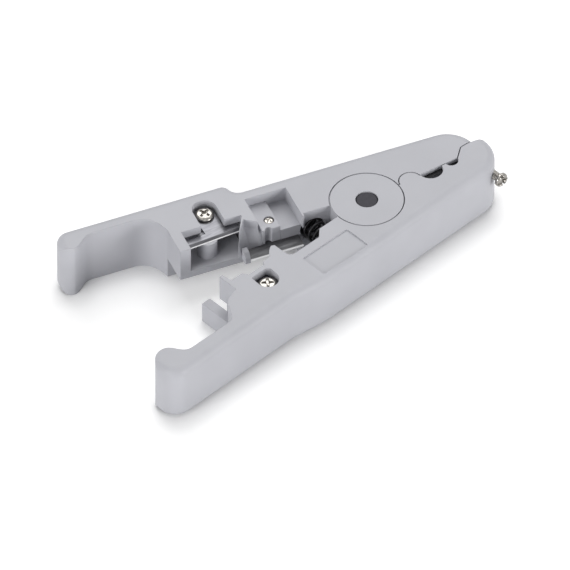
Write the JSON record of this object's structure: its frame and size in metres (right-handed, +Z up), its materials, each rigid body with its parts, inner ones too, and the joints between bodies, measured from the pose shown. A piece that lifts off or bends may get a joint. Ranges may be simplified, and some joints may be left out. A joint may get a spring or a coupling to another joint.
{
  "type": "network cable stripper",
  "caption": "Hand tool of two pivoted plastic halves with blades between them, for cutting and stripping flat and round network cable.",
  "frame": {"origin": "on the pivot pin's axis, at the flat bottom face the tool lies on", "axes": "+X along the tool's middle line towards the nose, +Y towards the far half, +Z up along the pivot pin"},
  "size_m": [0.1257, 0.0648, 0.018],
  "materials": {
    "grey_abs": "fine matt moulded plastic",
    "pin_black": "black oxide steel",
    "spring_black": "black spring steel",
    "blade_steel": "hardened steel with ground edges",
    "nickel_steel": "nickel-plated steel",
    "insert_brass": "turned brass"
  },
  "bodies": {
    "far": {"far_handle": "grey_abs", "pivot_pin": "pin_black", "pivot_clip": "spring_black", "handle_spring": "spring_black", "far_strip_blade": "blade_steel", "far_blade_screw": "nickel_steel", "cutter_blade": "blade_steel", "cutter_clamp": "grey_abs", "cutter_clamp_screw": "nickel_steel", "nose_blade": "blade_steel"},
    "near": {"near_handle": "grey_abs", "near_strip_blade": "blade_steel", "near_blade_screw": "nickel_steel", "depth_screw_insert": "insert_brass"},
    "depth_screw": {"depth_screw": "nickel_steel"}
  },
  "joints": [
    {"name": "handle_hinge", "type": "hinge", "parent": "far", "child": "near", "pos_m": [0, 0, 0.009], "axis": [0, 0, 1], "range_deg": [-18, 0], "stiffness_Nm_per_rad": 0.8, "springref_deg": 25.21, "deforming": ["handle_spring"]},
    {"name": "depth_screw_slide", "type": "slide", "parent": "near", "child": "depth_screw", "axis": [0.1805, -0.9836, 0], "range_m": [-0.0003, 0.002]}
  ]
}
